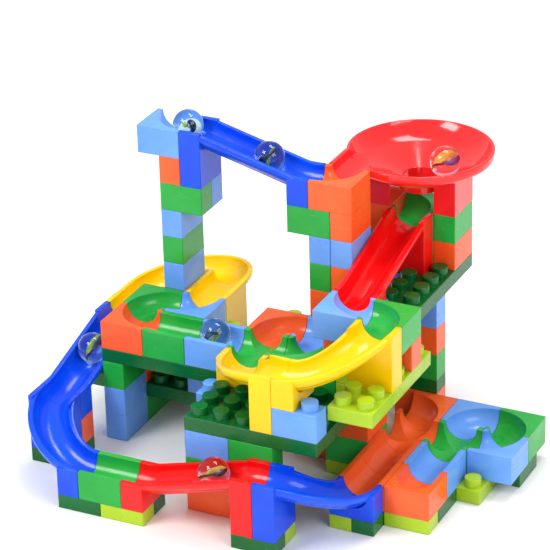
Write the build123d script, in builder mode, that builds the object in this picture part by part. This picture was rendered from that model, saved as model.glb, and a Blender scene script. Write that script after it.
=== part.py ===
from build123d import *
import math
import os

# A toy marble run: studded building bricks and plates carry half-pipe track
# pieces, and six glass marbles roll in them.  All pieces stand on one lattice
# of studs and plate heights.  Units are millimetres, +Z is up, and the origin
# is the middle of the footprint at table level.

# ---------------------------------------------------------------- dimensions
PITCH = 12.0          # stud to stud
PLATE = 7.5           # height of a plate; a brick is two plates
GAP = 0.1             # moulding clearance on each side face
WALL = 1.4            # wall of a hollow brick
STUD_R = 4.2          # stud radius
STUD_H = 4.4          # stud height
POCKET = 4.7          # depth of the socket under a plate or track block
TUBE_R = 4.1          # clutch tube between four studs
TUBE_BORE = 2.6       # bore of a clutch tube
EDGE = 0.35           # edge rounding of the mouldings
CHAN_R = 9.0          # radius of the marble channel
SHELL = 1.3           # shell thickness under the channel
TROUGH_R = CHAN_R + SHELL
MARBLE_R = 8.0
MARBLE_LIFT = 0.3     # clearance under a marble
LEVEL = 8.0           # level run at each end of a slide
BEND_R = 26.0         # blend between level and slope
RIM_R = 38.0          # funnel rim, outside
BOWL_R = 36.4         # funnel rim, inside
HOLE_R = 9.5          # funnel outlet

# the lattice origin inside the footprint
X_SHIFT = 72.0
Y_MID = ((-4 * PITCH + GAP) + (11 * PITCH + RIM_R)) / 2


def px(x):
    return x * PITCH + X_SHIFT


def py(y):
    return y * PITCH - Y_MID


def pz(z):
    return z * PLATE


os.makedirs("parts", exist_ok=True)


# ------------------------------------------------------------ bricks, plates
def stud_brick(nx, ny, nz):
    """A hollow studded brick, nx by ny studs and nz plates high."""
    w, d, h = nx * PITCH - 2 * GAP, ny * PITCH - 2 * GAP, nz * PLATE
    pocket = h - 1.6 if nz > 1 else POCKET
    with BuildPart() as brick:
        with BuildSketch(Plane.XY):
            Rectangle(w, d)
        extrude(amount=h)
        fillet(brick.edges().filter_by(Axis.Z), EDGE)
        fillet(brick.faces().sort_by(Axis.Z)[-1].edges(), EDGE)
        with BuildSketch(Plane.XY):
            Rectangle(w - 2 * WALL, d - 2 * WALL)
        extrude(amount=pocket, mode=Mode.SUBTRACT)
        with BuildSketch(Plane.XY.offset(h)):
            with GridLocations(PITCH, PITCH, nx, ny):
                Circle(STUD_R)
        extrude(amount=STUD_H)
        stud_tops = brick.faces().filter_by(Plane.XY).group_by(Axis.Z)[-1]
        fillet(stud_tops.edges(), EDGE)
        if nx > 1 and ny > 1:
            with BuildSketch(Plane.XY):
                with GridLocations(PITCH, PITCH, nx - 1, ny - 1):
                    Circle(TUBE_R)
                    Circle(TUBE_BORE, mode=Mode.SUBTRACT)
            extrude(amount=pocket)
    return brick.part


def place(proto, spots):
    """One node of identical pieces: spots are lattice centres and turns."""
    with BuildPart() as group:
        for x, y, z, turn in spots:
            with Locations(Location((px(x), py(y), pz(z)), (0, 0, turn))):
                add(proto)
    return group.part


# ------------------------------------------------------------- track blocks
def block_blank():
    """A two by two stud, one brick high block with a socket underneath."""
    w, h = 2 * PITCH - 2 * GAP, 2 * PLATE
    with BuildPart() as blank:
        with BuildSketch(Plane.XY):
            Rectangle(w, w)
        extrude(amount=h)
        fillet(blank.edges().filter_by(Axis.Z), EDGE)
        with BuildSketch(Plane.XY):
            Rectangle(w - 2 * WALL, w - 2 * WALL)
            Circle(TUBE_R, mode=Mode.SUBTRACT)
        extrude(amount=POCKET, mode=Mode.SUBTRACT)
    return blank.part


BLANK = block_blank()
TOP = 2 * PLATE


def straight_block():
    """Channel along X."""
    with BuildPart() as block:
        add(BLANK)
        with BuildSketch(Plane.YZ.offset(-PITCH)):
            with Locations((0, TOP)):
                Circle(CHAN_R)
        extrude(amount=2 * PITCH, mode=Mode.SUBTRACT)
    return block.part


def cross_block():
    """Two channels that cross."""
    with BuildPart() as block:
        add(BLANK)
        with BuildSketch(Plane.YZ.offset(-PITCH)):
            with Locations((0, TOP)):
                Circle(CHAN_R)
        extrude(amount=2 * PITCH, mode=Mode.SUBTRACT)
        with BuildSketch(Plane.XZ.offset(-PITCH)):
            with Locations((0, TOP)):
                Circle(CHAN_R)
        extrude(amount=2 * PITCH, mode=Mode.SUBTRACT)
    return block.part


def quarter_block():
    """Channel turning from +X to +Y round the block's +X +Y corner."""
    axis = Axis((PITCH, PITCH, 0), (0, 0, 1))
    with BuildPart() as block:
        add(BLANK)
        with BuildSketch(Plane.XZ.offset(-PITCH)):
            with Locations((0, TOP)):
                Circle(CHAN_R)
        revolve(axis=axis, revolution_arc=360, mode=Mode.SUBTRACT)
    return block.part


def stop_block():
    """Channel that enters from +Y and ends in the middle."""
    with BuildPart() as block:
        add(BLANK)
        with BuildSketch(Plane.XZ.offset(-PITCH)):
            with Locations((0, TOP)):
                Circle(CHAN_R)
        extrude(amount=PITCH, mode=Mode.SUBTRACT)
        with Locations((0, 0, TOP)):
            Sphere(CHAN_R, mode=Mode.SUBTRACT)
    return block.part


STRAIGHT = straight_block()
CROSS = cross_block()
QUARTER = quarter_block()
STOP = stop_block()

# ------------------------------------------------------------ slides, curves
# A slide is built with its high end at x = 0 and runs along +X.  z = 0 is the
# table of its low foot; the low rim is one brick up and the high rim two.
HIGH_RIM = 4 * PLATE
LOW_RIM = 2 * PLATE


def leg_box(x0, x1, rim, depth_y=2 * PITCH - 2 * GAP):
    """A hollow leg that ends at the rim; the socket stops below the channel."""
    pocket = rim - TROUGH_R
    with BuildPart() as leg:
        with BuildSketch(Plane.XY):
            with Locations(((x0 + x1) / 2, 0)):
                Rectangle(x1 - x0, depth_y)
        extrude(amount=rim)
        fillet(leg.edges().filter_by(Axis.Z), EDGE)
        with BuildSketch(Plane.XY):
            with Locations(((x0 + x1) / 2, 0)):
                Rectangle(x1 - x0 - 2 * WALL, depth_y - 2 * WALL)
        extrude(amount=pocket, mode=Mode.SUBTRACT)
    return leg.part


def straight_slide(studs):
    length = studs * PITCH
    high = leg_box(GAP, PITCH - GAP, HIGH_RIM)
    low = leg_box(length - PITCH + GAP, length - GAP, LOW_RIM)
    with BuildPart() as slide:
        add(high)
        add(low)
        with BuildLine(Plane.XZ) as path:
            FilletPolyline((GAP, HIGH_RIM), (LEVEL, HIGH_RIM),
                           (length - LEVEL, LOW_RIM), (length - GAP, LOW_RIM),
                           radius=BEND_R)
        with BuildSketch(Plane.YZ.offset(GAP)):
            with Locations((0, HIGH_RIM)):
                Circle(TROUGH_R)
                with Locations((0, TROUGH_R)):
                    Rectangle(3 * TROUGH_R, 2 * TROUGH_R, mode=Mode.SUBTRACT)
        sweep(path=path.line)
        with BuildLine(Plane.XZ) as bore:
            FilletPolyline((0, HIGH_RIM), (LEVEL, HIGH_RIM),
                           (length - LEVEL, LOW_RIM), (length, LOW_RIM),
                           radius=BEND_R)
        with BuildSketch(Plane.YZ):
            with Locations((0, HIGH_RIM)):
                Circle(CHAN_R)
                with Locations((0, CHAN_R)):
                    Rectangle(2 * CHAN_R, 2 * CHAN_R)
        sweep(path=bore.line, mode=Mode.SUBTRACT)
    return slide.part


def ease(t):
    """Level at both ends, steepest in the middle."""
    return t * t * (3 - 2 * t)


def curve_plane(radius, angle, z):
    """Radial plane at a track angle; its x points outwards and its y up."""
    a = math.radians(angle)
    out = (math.cos(a), math.sin(a), 0)
    along = (-math.sin(a), math.cos(a), 0)
    return Plane(origin=(radius * out[0], radius * out[1], z), x_dir=out,
                 z_dir=(-along[0], -along[1], 0))


def quarter_curve(radius, arc, steps, high_leg, low_leg):
    """Curved slide round the origin: high end at angle 0, low end at arc."""
    with BuildPart() as curve:
        add(high_leg)
        add(low_leg)
        for i in range(steps + 1):
            t = i / steps
            z = HIGH_RIM + (LOW_RIM - HIGH_RIM) * ease(t)
            with BuildSketch(curve_plane(radius, arc * t, z)):
                Circle(TROUGH_R)
                with Locations((0, TROUGH_R)):
                    Rectangle(3 * TROUGH_R, 2 * TROUGH_R, mode=Mode.SUBTRACT)
        loft()
        for i in range(steps + 1):
            t = i / steps
            z = HIGH_RIM + (LOW_RIM - HIGH_RIM) * ease(t)
            with BuildSketch(curve_plane(radius, arc * t, z)):
                with BuildLine():
                    Polyline((-CHAN_R, 0), (-CHAN_R, TROUGH_R),
                             (CHAN_R, TROUGH_R), (CHAN_R, 0))
                    RadiusArc((CHAN_R, 0), (-CHAN_R, 0), CHAN_R)
                make_face()
        loft(mode=Mode.SUBTRACT)
    return curve.part


def curve_leg(x_mid, y0, y1, rim):
    """A leg under a curve's end: two studs wide in X, y0 to y1 in Y."""
    pocket = rim - TROUGH_R
    w, d = 2 * PITCH - 2 * GAP, abs(y1 - y0) - 2 * GAP
    with BuildPart() as leg:
        with BuildSketch(Plane.XY):
            with Locations((x_mid, (y0 + y1) / 2)):
                Rectangle(w, d)
        extrude(amount=rim)
        fillet(leg.edges().filter_by(Axis.Z), EDGE)
        with BuildSketch(Plane.XY):
            with Locations((x_mid, (y0 + y1) / 2)):
                Rectangle(w - 2 * WALL, d - 2 * WALL)
        extrude(amount=pocket, mode=Mode.SUBTRACT)
        with BuildSketch(Plane.XZ.offset(-max(y0, y1))):
            with Locations((x_mid, rim)):
                Circle(CHAN_R)
        extrude(amount=abs(y1 - y0), mode=Mode.SUBTRACT)
    return leg.part


# the quarter curve turns round the origin with a mean radius of three studs
CURVE_R = 3 * PITCH
HIGH_LEG = curve_leg(CURVE_R, 0, PITCH, HIGH_RIM)
LOW_LEG = Rot(0, 0, 90) * curve_leg(CURVE_R, -PITCH, 0, LOW_RIM)
CURVE_LEFT = quarter_curve(CURVE_R, 90, 8, HIGH_LEG, LOW_LEG)
CURVE_RIGHT = mirror(CURVE_LEFT, about=Plane.XZ)
SLIDE = straight_slide(6)

# the half-turn: level arms two studs long, joined by a semicircle
TURN_R = 2 * PITCH
ARM = 2 * PITCH


def half_turn():
    """Half-turn round the origin from +X (high) to -X (low), arms along -Y."""
    high = curve_leg(TURN_R, -ARM, 0, HIGH_RIM)
    low = curve_leg(-TURN_R, -ARM, -PITCH, LOW_RIM)
    with BuildPart() as turn:
        add(high)
        add(low)
        for x, rim in ((-TURN_R, LOW_RIM), (TURN_R, HIGH_RIM)):
            with BuildSketch(Plane.XZ.offset(ARM - GAP)):
                with Locations((x, rim)):
                    Circle(TROUGH_R)
                    with Locations((0, TROUGH_R)):
                        Rectangle(3 * TROUGH_R, 2 * TROUGH_R,
                                  mode=Mode.SUBTRACT)
            extrude(amount=-(ARM - GAP))
            with BuildSketch(Plane.XZ):
                with Locations((x, rim)):
                    Circle(CHAN_R)
            extrude(amount=ARM, mode=Mode.SUBTRACT)
        for i in range(13):
            t = i / 12
            z = HIGH_RIM + (LOW_RIM - HIGH_RIM) * ease(t)
            with BuildSketch(curve_plane(TURN_R, 180 * t, z)):
                Circle(TROUGH_R)
                with Locations((0, TROUGH_R)):
                    Rectangle(3 * TROUGH_R, 2 * TROUGH_R, mode=Mode.SUBTRACT)
        loft()
        for i in range(13):
            t = i / 12
            z = HIGH_RIM + (LOW_RIM - HIGH_RIM) * ease(t)
            with BuildSketch(curve_plane(TURN_R, 180 * t, z)):
                with BuildLine():
                    Polyline((-CHAN_R, 0), (-CHAN_R, TROUGH_R),
                             (CHAN_R, TROUGH_R), (CHAN_R, 0))
                    RadiusArc((CHAN_R, 0), (-CHAN_R, 0), CHAN_R)
                make_face()
        loft(mode=Mode.SUBTRACT)
    return turn.part


# ------------------------------------------------------------------- funnel
RIM_Z = 4 * PLATE               # rim above the funnel's own feet
LIP_Z = RIM_Z - 15.0            # bowl floor at the outlet
SPOUT_Z = 9.0                   # underside of the outlet
BREAK_R, BREAK_Z = 28.0, RIM_Z - 8.0


def funnel():
    """Bowl on two legs with an outlet in the middle and an inlet trough."""
    with BuildPart() as bowl:
        # outer body of the bowl
        with BuildSketch(Plane.XZ):
            with BuildLine():
                Polyline((HOLE_R, RIM_Z + 0.0), (HOLE_R, SPOUT_Z),
                         (HOLE_R + 1.6, SPOUT_Z), (HOLE_R + 2.0, LIP_Z - 1.4),
                         (BREAK_R + 0.6, BREAK_Z - 1.7), (BOWL_R, RIM_Z - 3.4),
                         (RIM_R, RIM_Z - 2.2), (RIM_R, RIM_Z - 0.2),
                         (RIM_R - 0.8, RIM_Z), (HOLE_R, RIM_Z), close=False)
            make_face()
        revolve(axis=Axis.Z)
        # inlet trough, tangent to the left of the bowl
        with BuildSketch(Plane.XZ.offset(3 * PITCH - GAP)):
            with Locations((-2 * PITCH, RIM_Z)):
                Circle(TROUGH_R)
                with Locations((0, TROUGH_R)):
                    Rectangle(3 * TROUGH_R, 2 * TROUGH_R, mode=Mode.SUBTRACT)
        extrude(amount=-3 * PITCH)
        # the two legs
        with BuildSketch(Plane.XY):
            with Locations((-1.5 * PITCH, 0), (1.5 * PITCH, 0)):
                Rectangle(PITCH - 2 * GAP, 2 * PITCH - 2 * GAP)
        extrude(amount=RIM_Z)
        # inside of the bowl
        with BuildSketch(Plane.XZ):
            with BuildLine():
                Polyline((BOWL_R, RIM_Z), (BOWL_R, RIM_Z + 5), (0, RIM_Z + 5),
                         (0, -1), (HOLE_R, -1), (HOLE_R, LIP_Z),
                         (BREAK_R, BREAK_Z))
                RadiusArc((BREAK_R, BREAK_Z), (BOWL_R, RIM_Z), -20)
            make_face()
        revolve(axis=Axis.Z, mode=Mode.SUBTRACT)
        # channel of the inlet
        with BuildSketch(Plane.XZ.offset(3 * PITCH)):
            with Locations((-2 * PITCH, RIM_Z)):
                Circle(CHAN_R)
        extrude(amount=-3 * PITCH, mode=Mode.SUBTRACT)
        # sockets in the legs
        with BuildSketch(Plane.XY):
            with Locations((-1.5 * PITCH, 0), (1.5 * PITCH, 0)):
                Rectangle(PITCH - 2 * GAP - 2 * WALL,
                          2 * PITCH - 2 * GAP - 2 * WALL)
        extrude(amount=7.0, mode=Mode.SUBTRACT)
    return bowl.part


FUNNEL = funnel()
HALF_TURN = half_turn()


# -------------------------------------------------------------- track pieces
def track(proto, x, y, z, turn):
    with BuildPart() as piece:
        with Locations(Location((px(x), py(y), pz(z)), (0, 0, turn))):
            add(proto)
    return piece.part


nodes = {}
nodes["blue_top_slide"] = track(SLIDE, -12, 7, 17, 0)
nodes["red_funnel"] = track(FUNNEL, -3, 11, 15, 0)
nodes["red_upper_slide"] = track(SLIDE, -3, 10, 11, -90)
nodes["yellow_right_curve"] = track(CURVE_RIGHT, -4, 2, 9, 0)
nodes["yellow_left_curve"] = track(CURVE_RIGHT, -4, 2, 7, -90)
nodes["yellow_back_turn"] = track(HALF_TURN, -13, 8, 5, 0)
nodes["blue_left_slide"] = track(SLIDE, -15, 6, 3, -90)
nodes["blue_left_curve"] = track(CURVE_LEFT, -12, 0, 1, 180)
nodes["red_lower_slide"] = track(SLIDE, -4, -3, 1, 180)
nodes["blue_right_curve"] = track(CURVE_LEFT, -4, 0, 1, -90)

# channel blocks: lattice centre, base height, turn.  A quarter at turn 0
# opens to +X and +Y, at 90 to +Y and -X, at 180 to -X and -Y, at 270 to -Y
# and +X.
nodes["light_blue_quarter_blocks"] = place(QUARTER, [
    (-13, 7, 19, 0), (-3, 3, 11, 0), (-5, 5, 7, 180), (-11, 5, 7, 90),
    (1, 7, 1, 270), (3, 5, 1, 90)])
nodes["orange_quarter_blocks"] = place(QUARTER, [
    (-5, 7, 17, 90), (-7, 5, 7, 270), (-13, 3, 7, 0), (-1, 7, 1, 180)])
nodes["green_quarter_blocks"] = place(QUARTER, [
    (-3, 11, 13, 180), (-1, 3, 11, 180), (-5, 3, 7, 90), (-13, 5, 7, 270),
    (3, 7, 1, 180)])
nodes["green_cross_blocks"] = place(CROSS, [(-7, 3, 7, 0), (1, 5, 1, 0)])
nodes["orange_cross_block"] = place(CROSS, [(-1, 5, 1, 0)])
nodes["light_blue_straight_blocks"] = place(STRAIGHT, [
    (-9, 3, 7, 0), (1, 3, 1, 90)])
nodes["green_straight_blocks"] = place(STRAIGHT, [
    (-11, 3, 7, 0), (-11, -3, 1, 0)])
nodes["orange_straight_blocks"] = place(STRAIGHT, [
    (-1, 1, 1, 90), (-1, 3, 1, 90)])
nodes["orange_stop_block"] = place(STOP, [(1, 1, 1, 0)])

# ---------------------------------------------------------------- the bricks
B12 = stud_brick(1, 2, 2)
B22 = stud_brick(2, 2, 2)
B24 = stud_brick(2, 4, 2)
B14 = stud_brick(1, 4, 2)
P12 = stud_brick(1, 2, 1)
P22 = stud_brick(2, 2, 1)
P24 = stud_brick(2, 4, 1)
P26 = stud_brick(2, 6, 1)
P68 = stud_brick(6, 8, 1)

nodes["orange_bricks_1x2_low"] = place(B12, [
    (-15, 0.5, 1, 90), (-13.5, 5, 3, 0), (-5.5, 7, 9, 0), (-4.5, 7, 9, 0),
    (-2, 8.5, 1, 90), (-2, 8.5, 6, 90), (-12.5, 7, 7, 0), (-13, 7.5, 0, 90)])
nodes["orange_bricks_1x2_high"] = place(B12, [
    (-12.5, 7, 17, 0), (-4.5, 7, 15, 0), (-4.5, 7, 11, 0), (-1.5, 11, 11, 0),
    (-4.5, 11, 13, 0)])
nodes["green_bricks_1x2"] = place(B12, [
    (-12, 6.5, 15, 90), (-12.5, 7, 11, 0), (-5.5, 7, 11, 0), (-1.5, 11, 13, 0),
    (-13.5, 3, 4, 0), (-5, -1.5, 4, 90), (-2, 8.5, 4, 90), (-12.5, 7, 5, 0),
    (-13.5, 5, 0, 0), (-3.5, 3, 7, 0)])
nodes["light_blue_bricks_1x2_a"] = place(B12, [
    (-12, 7.5, 15, 90), (-12.5, 7, 9, 0), (-5.5, 7, 13, 0), (-4.5, 7, 13, 0),
    (-3, -1.5, 7, 90), (-2, 8.5, 8, 90), (-13.5, 3, 0, 0), (-10.5, 5, 3, 0)])
nodes["light_blue_bricks_1x2_b"] = place(B12, [
    (-12.5, 7, 13, 0), (-13.5, 3, 2, 0), (-4.5, 11, 11, 0), (-12.5, 7, 3, 0)])
nodes["orange_bricks_2x2"] = place(B22, [
    (-7, -1, 0, 0), (-3, 4, 3, 0), (-11, 7, 3, 0), (-4, 11, 0, 0),
    (-4, 11, 6, 0), (-3, 5, 7, 0)])
nodes["green_bricks_2x2"] = place(B22, [
    (-6, 7, 15, 0), (-7, -1, 2, 0), (-3, 4, 1, 0), (-15, 7, 3, 0),
    (-4, 11, 4, 0), (-3, 11, 11, 0)])
nodes["light_blue_bricks_2x2"] = place(B22, [
    (-5, 7, 7, 0), (-7, -1, 4, 0), (-8, 2, 4, 0), (-4, 11, 2, 0),
    (-4, 11, 8, 0), (-3, 5, 9, 0)])
nodes["orange_brick_2x4"] = place(B24, [(-5, 6, 0, 0)])
nodes["green_brick_2x4"] = place(B24, [(-5, 6, 2, 0)])
nodes["light_blue_brick_2x4"] = place(B24, [(-5, 6, 4, 0)])
nodes["orange_brick_1x4"] = place(B14, [(-2, 3.5, 9, 90)])

nodes["dark_green_plates_1x2"] = place(P12, [
    (-2, 8.5, 3, 90), (-10, -2.5, 0, 90), (-4, -3.5, 0, 90), (-0.5, 0, 0, 0),
    (-10.5, 5, 5, 0)])
nodes["lime_plates_1x2"] = place(P12, [
    (-10, -3.5, 0, 90), (-4, -2.5, 0, 90), (-1.5, 0, 0, 0), (1, 0.5, 0, 90),
    (-2, 8.5, 0, 90), (-13.5, 5, 5, 0), (-2.5, 3, 8, 0), (-1, 7.5, 0, 90)])
nodes["dark_green_plates_2x2"] = place(P22, [
    (-12, -3, 0, 0), (-15, 0, 0, 0), (1, 2, 0, 0), (3, 6, 0, 0),
    (-1, 2, 0, 0), (-3, 4, 5, 0), (-4, 11, 10, 0)])
nodes["lime_plates_2x2"] = place(P22, [
    (-3, 4, 0, 0), (-1, 4, 0, 0), (2, 4, 0, 0), (-2, 3, 7, 0)])
nodes["dark_green_plate_2x4"] = place(P24, [(0, 6, 0, 90)])
nodes["lime_plate_2x4"] = place(P24, [(-6, 7, 6, 90)])
nodes["dark_green_plates_2x6"] = place(P26, [
    (-2, 9, 10, 0), (-11, 3, 6, 90), (-13, 5, 2, 90), (-13, 7, 2, 90)])
nodes["lime_plates_2x6"] = place(P26, [(-1, 2, 8, 0), (-11, 5, 6, 90)])
nodes["dark_green_plate_6x8"] = place(P68, [(-5, 2, 6, 0)])


# --------------------------------------------------------------- the marbles
def marble(x, y, z):
    """A glass ball; x, y and z are in millimetres."""
    with BuildPart() as ball:
        with Locations((x, y, z)):
            Sphere(MARBLE_R)
    return ball.part


def on_slope(s):
    """Height of a marble's centre above the low rim, s along a slide."""
    slope = (HIGH_RIM - LOW_RIM) / (6 * PITCH - 2 * LEVEL)
    rim = HIGH_RIM - (s - LEVEL) * slope
    drop = (CHAN_R - MARBLE_R - MARBLE_LIFT) * math.sqrt(1 + slope * slope)
    return rim - drop - LOW_RIM


LEVEL_DROP = CHAN_R - MARBLE_R - MARBLE_LIFT
BOWL_SLOPE = math.atan2(BREAK_Z - LIP_Z, BREAK_R - HOLE_R)
ORBIT = 14.4                    # marble's distance from the funnel's axis
TOUCH_R = ORBIT + (MARBLE_R + MARBLE_LIFT) * math.sin(BOWL_SLOPE)
TOUCH_Z = LIP_Z + (TOUCH_R - HOLE_R) * math.tan(BOWL_SLOPE)
ORBIT_Z = TOUCH_Z + (MARBLE_R + MARBLE_LIFT) * math.cos(BOWL_SLOPE)
ORBIT_A = math.radians(-8)
TURN_A = math.radians(-91)

nodes["marble_top_turn"] = marble(
    px(-12) + PITCH * math.cos(TURN_A), py(8) + PITCH * math.sin(TURN_A),
    pz(21) - LEVEL_DROP)
nodes["marble_top_slide"] = marble(
    px(-12) + 45.5, py(7), pz(19) + on_slope(45.5))
nodes["marble_funnel"] = marble(
    px(-3) + ORBIT * math.cos(ORBIT_A), py(11) + ORBIT * math.sin(ORBIT_A),
    pz(15) + ORBIT_Z)
nodes["marble_platform"] = marble(px(-9), py(3), pz(9) - LEVEL_DROP)
nodes["marble_left_slide"] = marble(px(-15), py(6) - 36.0, pz(5) + on_slope(36))
nodes["marble_lower_slide"] = marble(
    px(-4) - 26.0, py(-3), pz(3) + on_slope(26))

for name, part in nodes.items():
    part.label = name
    export_step(part, "parts/" + name + ".step")
    box = part.bounding_box()
    print(name, len(part.solids()), round(part.volume, 1), part.is_valid,
          [round(v, 2) for v in (box.min.X, box.min.Y, box.min.Z,
                                 box.max.X, box.max.Y, box.max.Z)])
print("Y_MID", Y_MID, "marble slope angle",
      math.degrees(math.atan2(15, 6 * PITCH - 2 * LEVEL)))
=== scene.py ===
import math

import bmesh
import bpy
from mathutils import Matrix, Vector


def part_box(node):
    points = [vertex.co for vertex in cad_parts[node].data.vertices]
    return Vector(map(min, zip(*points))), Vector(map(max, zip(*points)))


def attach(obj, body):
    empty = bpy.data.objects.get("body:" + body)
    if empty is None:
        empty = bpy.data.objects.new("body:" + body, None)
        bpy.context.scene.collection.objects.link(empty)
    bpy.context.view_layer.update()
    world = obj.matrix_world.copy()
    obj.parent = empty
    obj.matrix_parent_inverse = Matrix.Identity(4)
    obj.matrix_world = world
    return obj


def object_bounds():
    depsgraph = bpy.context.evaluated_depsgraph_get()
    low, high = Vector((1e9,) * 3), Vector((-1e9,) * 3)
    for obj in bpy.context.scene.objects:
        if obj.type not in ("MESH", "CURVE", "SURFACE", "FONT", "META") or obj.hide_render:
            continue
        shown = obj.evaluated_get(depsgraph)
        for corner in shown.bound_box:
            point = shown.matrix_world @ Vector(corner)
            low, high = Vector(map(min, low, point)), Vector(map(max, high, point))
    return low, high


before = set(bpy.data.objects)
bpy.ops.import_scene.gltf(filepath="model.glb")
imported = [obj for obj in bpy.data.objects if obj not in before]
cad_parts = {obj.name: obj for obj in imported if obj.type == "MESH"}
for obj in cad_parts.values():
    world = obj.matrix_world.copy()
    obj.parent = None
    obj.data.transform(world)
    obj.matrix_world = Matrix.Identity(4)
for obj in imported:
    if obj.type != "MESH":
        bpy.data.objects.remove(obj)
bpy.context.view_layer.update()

scene = bpy.context.scene


# ------------------------------------------------------------------- camera
cam_data = bpy.data.cameras.new("camera")
cam = bpy.data.objects.new("camera", cam_data)
scene.collection.objects.link(cam)
right = Vector((0.9010724, 0.4329300, -0.0252993))
up = Vector((-0.1702626, 0.4068209, 0.8975006))
look = Vector((-0.3988473, 0.8044056, -0.4402869))
rot = Matrix((right, up, -look)).transposed()
cam.matrix_world = Matrix.Translation((0.562018, -1.161529, 0.728549)) @ rot.to_4x4()
cam_data.sensor_width = 36.0
cam_data.lens = 186.995
cam_data.clip_start = 0.05
cam_data.clip_end = 20.0
scene.camera = cam


# ---------------------------------------------------------------- materials
def lin(r, g, b):
    """A display colour, 0 to 255, as scene-linear."""
    out = []
    for v in (r, g, b):
        v /= 255.0
        out.append(v / 12.92 if v <= 0.04045 else ((v + 0.055) / 1.055) ** 2.4)
    return (*out, 1.0)


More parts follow.
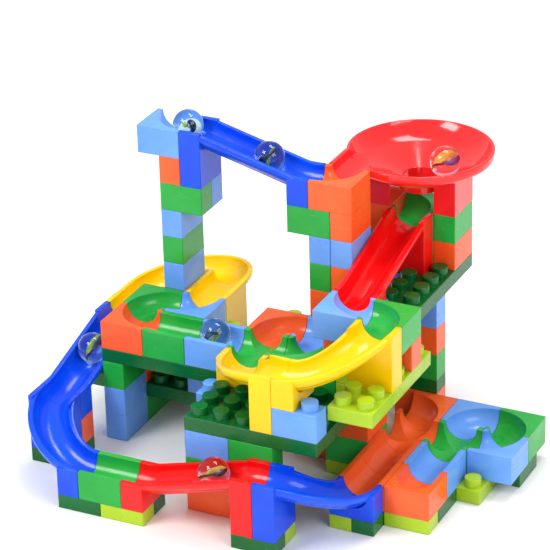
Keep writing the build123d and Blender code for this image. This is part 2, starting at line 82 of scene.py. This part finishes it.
def plastic(name, main, deep, rough=0.2, sss=0.06, seed=0.0, coat=0.08):
    """Glossy moulded plastic: flow marks in the colour, orange peel, and fine
    handling scratches in the gloss."""
    mat = bpy.data.materials.new(name)
    mat.use_nodes = True
    nt = mat.node_tree
    n, l = nt.nodes, nt.links
    bsdf = n["Principled BSDF"]
    coord = n.new("ShaderNodeTexCoord")
    shift = n.new("ShaderNodeMapping")
    shift.inputs["Location"].default_value = (seed, seed * 0.7, seed * 1.3)
    l.new(coord.outputs["Object"], shift.inputs["Vector"])
    # slow flow marks in the pigment
    flow = n.new("ShaderNodeTexNoise")
    flow.inputs["Scale"].default_value = 26.0
    flow.inputs["Detail"].default_value = 3.0
    flow.inputs["Distortion"].default_value = 0.8
    l.new(shift.outputs["Vector"], flow.inputs["Vector"])
    ramp = n.new("ShaderNodeValToRGB")
    ramp.color_ramp.elements[0].position = 0.3
    ramp.color_ramp.elements[0].color = deep
    ramp.color_ramp.elements[1].position = 0.72
    ramp.color_ramp.elements[1].color = main
    l.new(flow.outputs["Fac"], ramp.inputs["Fac"])
    # fine pigment specks
    specks = n.new("ShaderNodeTexNoise")
    specks.inputs["Scale"].default_value = 900.0
    specks.inputs["Detail"].default_value = 2.0
    l.new(shift.outputs["Vector"], specks.inputs["Vector"])
    sramp = n.new("ShaderNodeValToRGB")
    sramp.color_ramp.elements[0].position = 0.35
    sramp.color_ramp.elements[0].color = (0.95, 0.95, 0.95, 1)
    sramp.color_ramp.elements[1].position = 0.65
    sramp.color_ramp.elements[1].color = (1, 1, 1, 1)
    l.new(specks.outputs["Fac"], sramp.inputs["Fac"])
    mix = n.new("ShaderNodeMix")
    mix.data_type = "RGBA"
    mix.blend_type = "MULTIPLY"
    mix.inputs["Factor"].default_value = 0.7
    l.new(ramp.outputs["Color"], mix.inputs["A"])
    l.new(sramp.outputs["Color"], mix.inputs["B"])
    l.new(mix.outputs["Result"], bsdf.inputs["Base Color"])
    # gloss: clean with smudges and hairline scratches
    smudge = n.new("ShaderNodeTexNoise")
    smudge.inputs["Scale"].default_value = 75.0
    smudge.inputs["Detail"].default_value = 4.0
    l.new(shift.outputs["Vector"], smudge.inputs["Vector"])
    stretch = n.new("ShaderNodeMapping")
    stretch.inputs["Scale"].default_value = (60.0, 900.0, 700.0)
    stretch.inputs["Rotation"].default_value = (0.3, 0.2, 0.6)
    l.new(coord.outputs["Object"], stretch.inputs["Vector"])
    hair = n.new("ShaderNodeTexNoise")
    hair.inputs["Scale"].default_value = 1.0
    hair.inputs["Detail"].default_value = 1.0
    l.new(stretch.outputs["Vector"], hair.inputs["Vector"])
    hmap = n.new("ShaderNodeMapRange")
    hmap.inputs["From Min"].default_value = 0.62
    hmap.inputs["From Max"].default_value = 0.75
    hmap.inputs["To Min"].default_value = 0.0
    hmap.inputs["To Max"].default_value = 0.05
    l.new(hair.outputs["Fac"], hmap.inputs["Value"])
    rmap = n.new("ShaderNodeMapRange")
    rmap.inputs["From Min"].default_value = 0.35
    rmap.inputs["From Max"].default_value = 0.7
    rmap.inputs["To Min"].default_value = rough * 0.8
    rmap.inputs["To Max"].default_value = rough * 1.45
    l.new(smudge.outputs["Fac"], rmap.inputs["Value"])
    add = n.new("ShaderNodeMath")
    add.operation = "ADD"
    l.new(rmap.outputs["Result"], add.inputs[0])
    l.new(hmap.outputs["Result"], add.inputs[1])
    l.new(add.outputs["Value"], bsdf.inputs["Roughness"])
    # moulded surface: orange peel, with slight sink
    peel = n.new("ShaderNodeTexNoise")
    peel.inputs["Scale"].default_value = 420.0
    peel.inputs["Detail"].default_value = 2.0
    l.new(shift.outputs["Vector"], peel.inputs["Vector"])
    sink = n.new("ShaderNodeTexNoise")
    sink.inputs["Scale"].default_value = 70.0
    sink.inputs["Detail"].default_value = 1.0
    l.new(shift.outputs["Vector"], sink.inputs["Vector"])
    round_edge = n.new("ShaderNodeBevel")
    round_edge.samples = 4
    round_edge.inputs["Radius"].default_value = 0.0007
    bump1 = n.new("ShaderNodeBump")
    l.new(round_edge.outputs["Normal"], bump1.inputs["Normal"])
    bump1.inputs["Strength"].default_value = 0.05
    bump1.inputs["Distance"].default_value = 0.0003
    l.new(peel.outputs["Fac"], bump1.inputs["Height"])
    bump2 = n.new("ShaderNodeBump")
    bump2.inputs["Strength"].default_value = 0.10
    bump2.inputs["Distance"].default_value = 0.0012
    l.new(sink.outputs["Fac"], bump2.inputs["Height"])
    l.new(bump1.outputs["Normal"], bump2.inputs["Normal"])
    l.new(bump2.outputs["Normal"], bsdf.inputs["Normal"])
    bsdf.inputs["IOR"].default_value = 1.5
    bsdf.inputs["Subsurface Weight"].default_value = sss
    bsdf.inputs["Subsurface Radius"].default_value = (0.004, 0.004, 0.004)
    bsdf.inputs["Specular IOR Level"].default_value = 0.3
    bsdf.inputs["Coat Weight"].default_value = coat
    bsdf.inputs["Coat Roughness"].default_value = 0.08
    return mat


MATS = {
    "blue": plastic("blue_plastic", lin(6, 88, 240), lin(3, 66, 222), 0.16, 0.04, 1.0),
    "red": plastic("red_plastic", lin(247, 20, 22), lin(230, 10, 14), 0.16, 0.06, 2.0),
    "red_funnel": plastic("red_funnel_plastic", lin(252, 38, 40), lin(245, 28, 30), 0.12, 0.16, 2.5, 0.45),
    "yellow": plastic("yellow_plastic", lin(255, 214, 3), lin(254, 202, 1), 0.16, 0.08, 3.0),
    "green": plastic("green_plastic", lin(40, 178, 70), lin(28, 160, 56), 0.2, 0.06, 4.0),
    "light_blue": plastic("light_blue_plastic", lin(116, 172, 248), lin(98, 156, 240), 0.2, 0.08, 5.0),
    "orange": plastic("orange_plastic", lin(255, 106, 48), lin(246, 88, 32), 0.2, 0.08, 6.0),
    "dark_green": plastic("dark_green_plastic", lin(3, 108, 44), lin(2, 94, 36), 0.22, 0.03, 7.0),
    "lime": plastic("lime_plastic", lin(176, 208, 38), lin(160, 194, 26), 0.2, 0.08, 8.0),
}


def glass(name, thick, thin):
    """Clear glass with faint surface scuffs, whose base colour is a painted reflection of the coloured
    track round the marble; noise mixes its two tints at random, not by glass thickness.
    """
    mat = bpy.data.materials.new(name)
    mat.use_nodes = True
    nt = mat.node_tree
    n, l = nt.nodes, nt.links
    bsdf = n["Principled BSDF"]
    coord = n.new("ShaderNodeTexCoord")
    scuff = n.new("ShaderNodeTexNoise")
    scuff.inputs["Scale"].default_value = 260.0
    scuff.inputs["Detail"].default_value = 5.0
    l.new(coord.outputs["Object"], scuff.inputs["Vector"])
    rmap = n.new("ShaderNodeMapRange")
    rmap.inputs["From Min"].default_value = 0.5
    rmap.inputs["From Max"].default_value = 0.8
    rmap.inputs["To Min"].default_value = 0.0
    rmap.inputs["To Max"].default_value = 0.08
    l.new(scuff.outputs["Fac"], rmap.inputs["Value"])
    l.new(rmap.outputs["Result"], bsdf.inputs["Roughness"])
    # tint: painted reflection of the track colour in the clear glass, varied at random by noise
    tint = n.new("ShaderNodeTexNoise")
    tint.inputs["Scale"].default_value = 60.0
    l.new(coord.outputs["Object"], tint.inputs["Vector"])
    ramp = n.new("ShaderNodeValToRGB")
    ramp.color_ramp.elements[0].color = thick
    ramp.color_ramp.elements[1].color = thin
    l.new(tint.outputs["Fac"], ramp.inputs["Fac"])
    l.new(ramp.outputs["Color"], bsdf.inputs["Base Color"])
    bump = n.new("ShaderNodeBump")
    bump.inputs["Strength"].default_value = 0.02
    bump.inputs["Distance"].default_value = 0.0002
    l.new(scuff.outputs["Fac"], bump.inputs["Height"])
    l.new(bump.outputs["Normal"], bsdf.inputs["Normal"])
    bsdf.inputs["Transmission Weight"].default_value = 1.0
    bsdf.inputs["IOR"].default_value = 1.46
    return mat


# Painted reflection: clear glass tinted blue as if by the blue slides, and pink as if by the red funnel
# and red slide
BLUE_REFLECTION_GLASS = glass("marble_glass_painted_blue_reflection", (0.36, 0.58, 0.76, 1), (0.54, 0.75, 0.88, 1))
PINK_REFLECTION_GLASS = glass("marble_glass_painted_pink_reflection", (0.80, 0.52, 0.60, 1), (0.92, 0.70, 0.76, 1))


def vane_glass(name, a, b, seed):
    """Opaque coloured glass with streaks along the twist."""
    mat = bpy.data.materials.new(name)
    mat.use_nodes = True
    nt = mat.node_tree
    n, l = nt.nodes, nt.links
    bsdf = n["Principled BSDF"]
    coord = n.new("ShaderNodeTexCoord")
    mapping = n.new("ShaderNodeMapping")
    mapping.inputs["Location"].default_value = (seed, seed, seed)
    mapping.inputs["Scale"].default_value = (500.0, 180.0, 900.0)
    l.new(coord.outputs["Object"], mapping.inputs["Vector"])
    streak = n.new("ShaderNodeTexNoise")
    streak.inputs["Scale"].default_value = 1.0
    streak.inputs["Detail"].default_value = 3.0
    streak.inputs["Distortion"].default_value = 1.2
    l.new(mapping.outputs["Vector"], streak.inputs["Vector"])
    ramp = n.new("ShaderNodeValToRGB")
    ramp.color_ramp.elements[0].position = 0.38
    ramp.color_ramp.elements[0].color = a
    ramp.color_ramp.elements[1].position = 0.62
    ramp.color_ramp.elements[1].color = b
    l.new(streak.outputs["Fac"], ramp.inputs["Fac"])
    l.new(ramp.outputs["Color"], bsdf.inputs["Base Color"])
    bsdf.inputs["Roughness"].default_value = 0.3
    bsdf.inputs["Subsurface Weight"].default_value = 0.1
    bsdf.inputs["Subsurface Radius"].default_value = (0.001, 0.001, 0.001)
    return mat


VANES = {
    "lime": vane_glass("vane_lime", lin(190, 215, 40), lin(235, 240, 110), 1.0),
    "night": vane_glass("vane_night", lin(14, 22, 30), lin(40, 66, 60), 2.0),
    "sun": vane_glass("vane_sun", lin(250, 190, 30), lin(255, 225, 90), 3.0),
    "violet": vane_glass("vane_violet", lin(70, 40, 120), lin(130, 70, 150), 4.0),
    "milk": vane_glass("vane_milk", lin(225, 238, 240), lin(250, 252, 250), 5.0),
}

for node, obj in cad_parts.items():
    if node.startswith("marble_"):
        # marbles in the red funnel and on the red lower slide take the pink painted reflection, all others
        # the blue
        mat = PINK_REFLECTION_GLASS if node in ("marble_funnel", "marble_lower_slide") else BLUE_REFLECTION_GLASS
    else:
        key = next(k for k in ("red_funnel", "light_blue", "dark_green", "blue", "red", "yellow",
                               "green", "orange", "lime") if node.startswith(k))
        mat = MATS[key]
    if not obj.material_slots:
        obj.data.materials.append(mat)
    for slot in obj.material_slots:
        slot.material = mat


# ------------------------------------------------------------ marble vanes
def vane(name, centre, turn, tilt, radius, phase, twist, width, mat, body):
    """One twisted, lens-shaped band of coloured glass inside a marble."""
    bm = bmesh.new()
    rows, cols = 48, 14
    frame_rot = (Matrix.Rotation(turn, 3, "Z") @ Matrix.Rotation(tilt, 3, "X"))
    sides = []
    for side in (1.0, -1.0):
        grid = []
        for i in range(rows + 1):
            u = -1.0 + 2.0 * i / rows
            reach = radius * math.sqrt(max(0.0, 1.0 - (0.97 * u) ** 2))
            ang = phase + twist * u
            radial = Vector((math.cos(ang), math.sin(ang), 0.0))
            normal = Vector((-math.sin(ang), math.cos(ang), 0.0))
            row = []
            for j in range(cols + 1):
                v = j / cols
                r = reach * (0.04 + width * v)
                thick = 0.00042 * math.sin(math.pi * min(1.0, 0.12 + 0.88 * v)) * (1 - 0.9 * u * u)
                wave = 0.0006 * math.sin(3.1 * u + 2.0 * v + phase)
                p = radial * r + normal * (side * thick + wave * v) + Vector((0, 0, radius * 0.97 * u))
                row.append(bm.verts.new(Vector(centre) + frame_rot @ p))
            grid.append(row)
        sides.append(grid)
    for k, grid in enumerate(sides):
        for i in range(rows):
            for j in range(cols):
                q = [grid[i][j], grid[i + 1][j], grid[i + 1][j + 1], grid[i][j + 1]]
                bm.faces.new(q if k == 0 else q[::-1])
    a, b = sides
    for i in range(rows):
        bm.faces.new([a[i][cols], a[i + 1][cols], b[i + 1][cols], b[i][cols]])
        bm.faces.new([b[i][0], b[i + 1][0], a[i + 1][0], a[i][0]])
    for j in range(cols):
        bm.faces.new([a[0][j], a[0][j + 1], b[0][j + 1], b[0][j]])
        bm.faces.new([b[rows][j], b[rows][j + 1], a[rows][j + 1], a[rows][j]])
    bmesh.ops.recalc_face_normals(bm, faces=bm.faces)
    for f in bm.faces:
        f.smooth = True
    mesh = bpy.data.meshes.new(name)
    bm.to_mesh(mesh)
    bm.free()
    obj = bpy.data.objects.new(name, mesh)
    scene.collection.objects.link(obj)
    mesh.materials.append(mat)
    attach(obj, body)
    return obj


SWIRLS = {
    "marble_top_turn": (0.4, 1.0, [("night", 0.3, 0.34), ("lime", 3.3, 0.30)]),
    "marble_top_slide": (1.3, 0.6, [("lime", 0.3, 0.28), ("night", 3.0, 0.40)]),
    "marble_funnel": (2.2, 1.2, [("sun", 0.5, 0.52), ("violet", 3.4, 0.46)]),
    "marble_platform": (0.9, 0.9, [("lime", 0.0, 0.30), ("night", 2.7, 0.36)]),
    "marble_left_slide": (2.8, 0.8, [("lime", 0.2, 0.28), ("night", 2.9, 0.36)]),
    "marble_lower_slide": (1.8, 1.1, [("lime", 0.6, 0.24), ("night", 3.4, 0.32)]),
}
for body, (turn, tilt, bands) in SWIRLS.items():
    lo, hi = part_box(body)
    mid = [(lo[k] + hi[k]) / 2 for k in range(3)]
    for i, (kind, phase, width) in enumerate(bands):
        vane(f"{body}_vane_{i + 1}", mid, turn, tilt, 0.0063, phase, 1.5, width,
             VANES[kind], body)


# ------------------------------------------------------------- rounded rims
# Each trough has a soft, rounded rim as wide as its legs.  A rim is a closed
# strip swept along one side of the trough, buried in the wall beneath it.
HIGH, LOW = 30.0, 15.0
STRIP = [(9.16, -0.32), (9.32, -0.02), (9.70, 0.10), (10.40, 0.13), (11.05, 0.09),
         (11.48, -0.10), (11.70, -0.48), (11.74, -1.30), (11.62, -2.20),
         (11.20, -3.20), (10.50, -4.20), (9.60, -5.10), (8.60, -5.95),
         (7.90, -5.35), (9.05, -3.10), (9.50, -1.20)]
RING = [(36.45, -0.30), (36.62, 0.00), (37.00, 0.12), (37.45, 0.08), (37.80, -0.15),
        (37.97, -0.60), (37.98, -3.00), (37.80, -3.80), (37.30, -4.50),
        (36.40, -4.95), (34.60, -4.95), (35.60, -3.60), (36.20, -2.20)]


def ease(t):
    return t * t * (3 - 2 * t)


def straight_path(studs=6.0):
    """Stations (point, across, up) down a straight slide, in mm."""
    length, level, bend = studs * 12.0, 8.0, 26.0
    a, b = (level, HIGH), (length - level, LOW)
    slope = math.atan2(HIGH - LOW, b[0] - a[0])
    cut = bend * math.tan(slope / 2)
    line = [((0.15, HIGH), 0.0), ((a[0] - cut, HIGH), 0.0)]
    for i in range(1, 9):
        w = slope * i / 8
        line.append(((a[0] - cut + bend * math.sin(w), HIGH - bend * (1 - math.cos(w))), w))
    start, end = line[-1][0], (b[0] + cut, LOW)
    low = [((end[0] - bend * math.sin(slope * i / 8),
             LOW + bend * (1 - math.cos(slope * i / 8))), slope * i / 8)
           for i in range(8, -1, -1)]
    for i in range(1, 12):
        t = i / 12
        line.append(((start[0] + (low[0][0][0] - start[0]) * t,
                      start[1] + (low[0][0][1] - start[1]) * t), slope))
    line += low + [((length - 0.15, LOW), 0.0)]
    return [(Vector((x, 0, z)), Vector((0, 1, 0)),
             Vector((math.sin(w), 0, math.cos(w)))) for (x, z), w in line]


def curve_path(flip, radius=36.0, arc=90.0, steps=28):
    """Stations round a curved slide; flip mirrors it front to back."""
    out = []
    for i in range(steps + 1):
        t = i / steps
        a = math.radians(arc * t)
        sign = -1.0 if flip else 1.0
        radial = Vector((math.cos(a), sign * math.sin(a), 0))
        out.append((radial * radius + Vector((0, 0, HIGH + (LOW - HIGH) * ease(t))),
                    radial, Vector((0, 0, 1))))
    return out


def turn_path():
    """Stations up one arm, round the half-turn and down the other arm."""
    arm = 23.85
    out = [(Vector((24, -arm + arm * i / 6, HIGH)), Vector((1, 0, 0)), Vector((0, 0, 1)))
           for i in range(6)]
    out += curve_path(False, 24.0, 180.0, 44)
    out += [(Vector((-24, -arm * i / 6, LOW)), Vector((-1, 0, 0)), Vector((0, 0, 1)))
            for i in range(1, 7)]
    return out


def sweep_strip(name, stations, profile, side, place, colour):
    """A closed strip of one profile along the stations, with capped ends."""
    bm = bmesh.new()
    rings = []
    for point, across, up in stations:
        rings.append([bm.verts.new(place @ ((point + across * (side * x) + up * y) * 0.001))
                      for x, y in profile])
    count = len(profile)
    for r0, r1 in zip(rings, rings[1:]):
        for k in range(count):
            m = (k + 1) % count
            bm.faces.new([r0[k], r0[m], r1[m], r1[k]])
    for ring in (rings[0], rings[-1]):
        bm.faces.new(ring)
    bmesh.ops.recalc_face_normals(bm, faces=bm.faces)
    for f in bm.faces:
        f.smooth = len(f.verts) == 4
    mesh = bpy.data.meshes.new(name)
    bm.to_mesh(mesh)
    bm.free()
    obj = bpy.data.objects.new(name, mesh)
    scene.collection.objects.link(obj)
    mesh.materials.append(MATS["red_funnel" if "funnel" in name else colour])
    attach(obj, "root")
    return obj


def lattice(x, y, z, turn):
    """Placement of a track piece at a stud position and plate height."""
    spot = Vector((12 * x + 72, 12 * y - 61.05, 7.5 * z)) * 0.001
    return Matrix.Translation(spot) @ Matrix.Rotation(math.radians(turn), 4, "Z")


TRACKS = [
    ("blue_top_slide", straight_path(), (-12, 7, 17, 0), "blue"),
    ("red_upper_slide", straight_path(), (-3, 10, 11, -90), "red"),
    ("blue_left_slide", straight_path(), (-15, 6, 3, -90), "blue"),
    ("red_lower_slide", straight_path(), (-4, -3, 1, 180), "red"),
    ("yellow_right_curve", curve_path(True), (-4, 2, 9, 0), "yellow"),
    ("yellow_left_curve", curve_path(True), (-4, 2, 7, -90), "yellow"),
    ("blue_left_curve", curve_path(False), (-12, 0, 1, 180), "blue"),
    ("blue_right_curve", curve_path(False), (-4, 0, 1, -90), "blue"),
    ("yellow_back_turn", turn_path(), (-13, 8, 5, 0), "yellow"),
]
for node, stations, spot, colour in TRACKS:
    for label, side in (("outer", 1.0), ("inner", -1.0)):
        sweep_strip(f"{node}_{label}_rim", stations, STRIP, side, lattice(*spot),
                    colour)

around = []
for i in range(161):
    a = math.radians(246.9 + (319.2) * i / 160)
    out = Vector((math.cos(a), math.sin(a), 0))
    around.append((Vector((0, 0, 30.0)), out, Vector((0, 0, 1))))
sweep_strip("red_funnel_rim", around, RING, 1.0, lattice(-3, 11, 15, 0), "red")
inlet = [(Vector((-24, -35.85 + 20.5 * i / 8, 30.0)), Vector((-1, 0, 0)), Vector((0, 0, 1)))
         for i in range(9)]
sweep_strip("red_funnel_inlet_rim", inlet, STRIP, 1.0, lattice(-3, 11, 15, 0), "red")


# --------------------------------------------------------- floor and lights
lo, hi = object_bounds()
floor_mesh = bpy.data.meshes.new("floor")
bm = bmesh.new()
bmesh.ops.create_grid(bm, x_segments=2, y_segments=2, size=6.0)
bm.to_mesh(floor_mesh)
bm.free()
floor = bpy.data.objects.new("floor", floor_mesh)
floor.location = (0, 0, -0.0002)
scene.collection.objects.link(floor)
fmat = bpy.data.materials.new("pale_floor")
fmat.use_nodes = True
fb = fmat.node_tree.nodes["Principled BSDF"]
fb.inputs["Base Color"].default_value = (0.97, 0.97, 0.97, 1)
fb.inputs["Roughness"].default_value = 0.55
floor_mesh.materials.append(fmat)

world = bpy.data.worlds.new("studio")
scene.world = world
world.use_nodes = True
world.node_tree.nodes["Background"].inputs["Color"].default_value = (1, 1, 1, 1)
world.node_tree.nodes["Background"].inputs["Strength"].default_value = 0.66


def area(name, loc, target, size, power):
    data = bpy.data.lights.new(name, "AREA")
    data.shape = "RECTANGLE"
    data.size, data.size_y = size
    data.energy = power
    obj = bpy.data.objects.new(name, data)
    scene.collection.objects.link(obj)
    obj.location = loc
    d = Vector(target) - Vector(loc)
    obj.rotation_euler = d.to_track_quat("-Z", "Y").to_euler()
    return obj


area("key", (-0.55, -0.75, 1.05), (0, 0, 0.06), (0.55, 0.4), 9.8)
area("fill", (1.0, -0.5, 0.8), (0, 0, 0.06), (0.7, 0.5), 6.0)
area("top", (0.1, 0.35, 1.3), (0, 0, 0.05), (0.6, 0.35), 7.0)

scene.view_settings.view_transform = "Standard"
scene.view_settings.look = "None"
scene.view_settings.exposure = 0.0
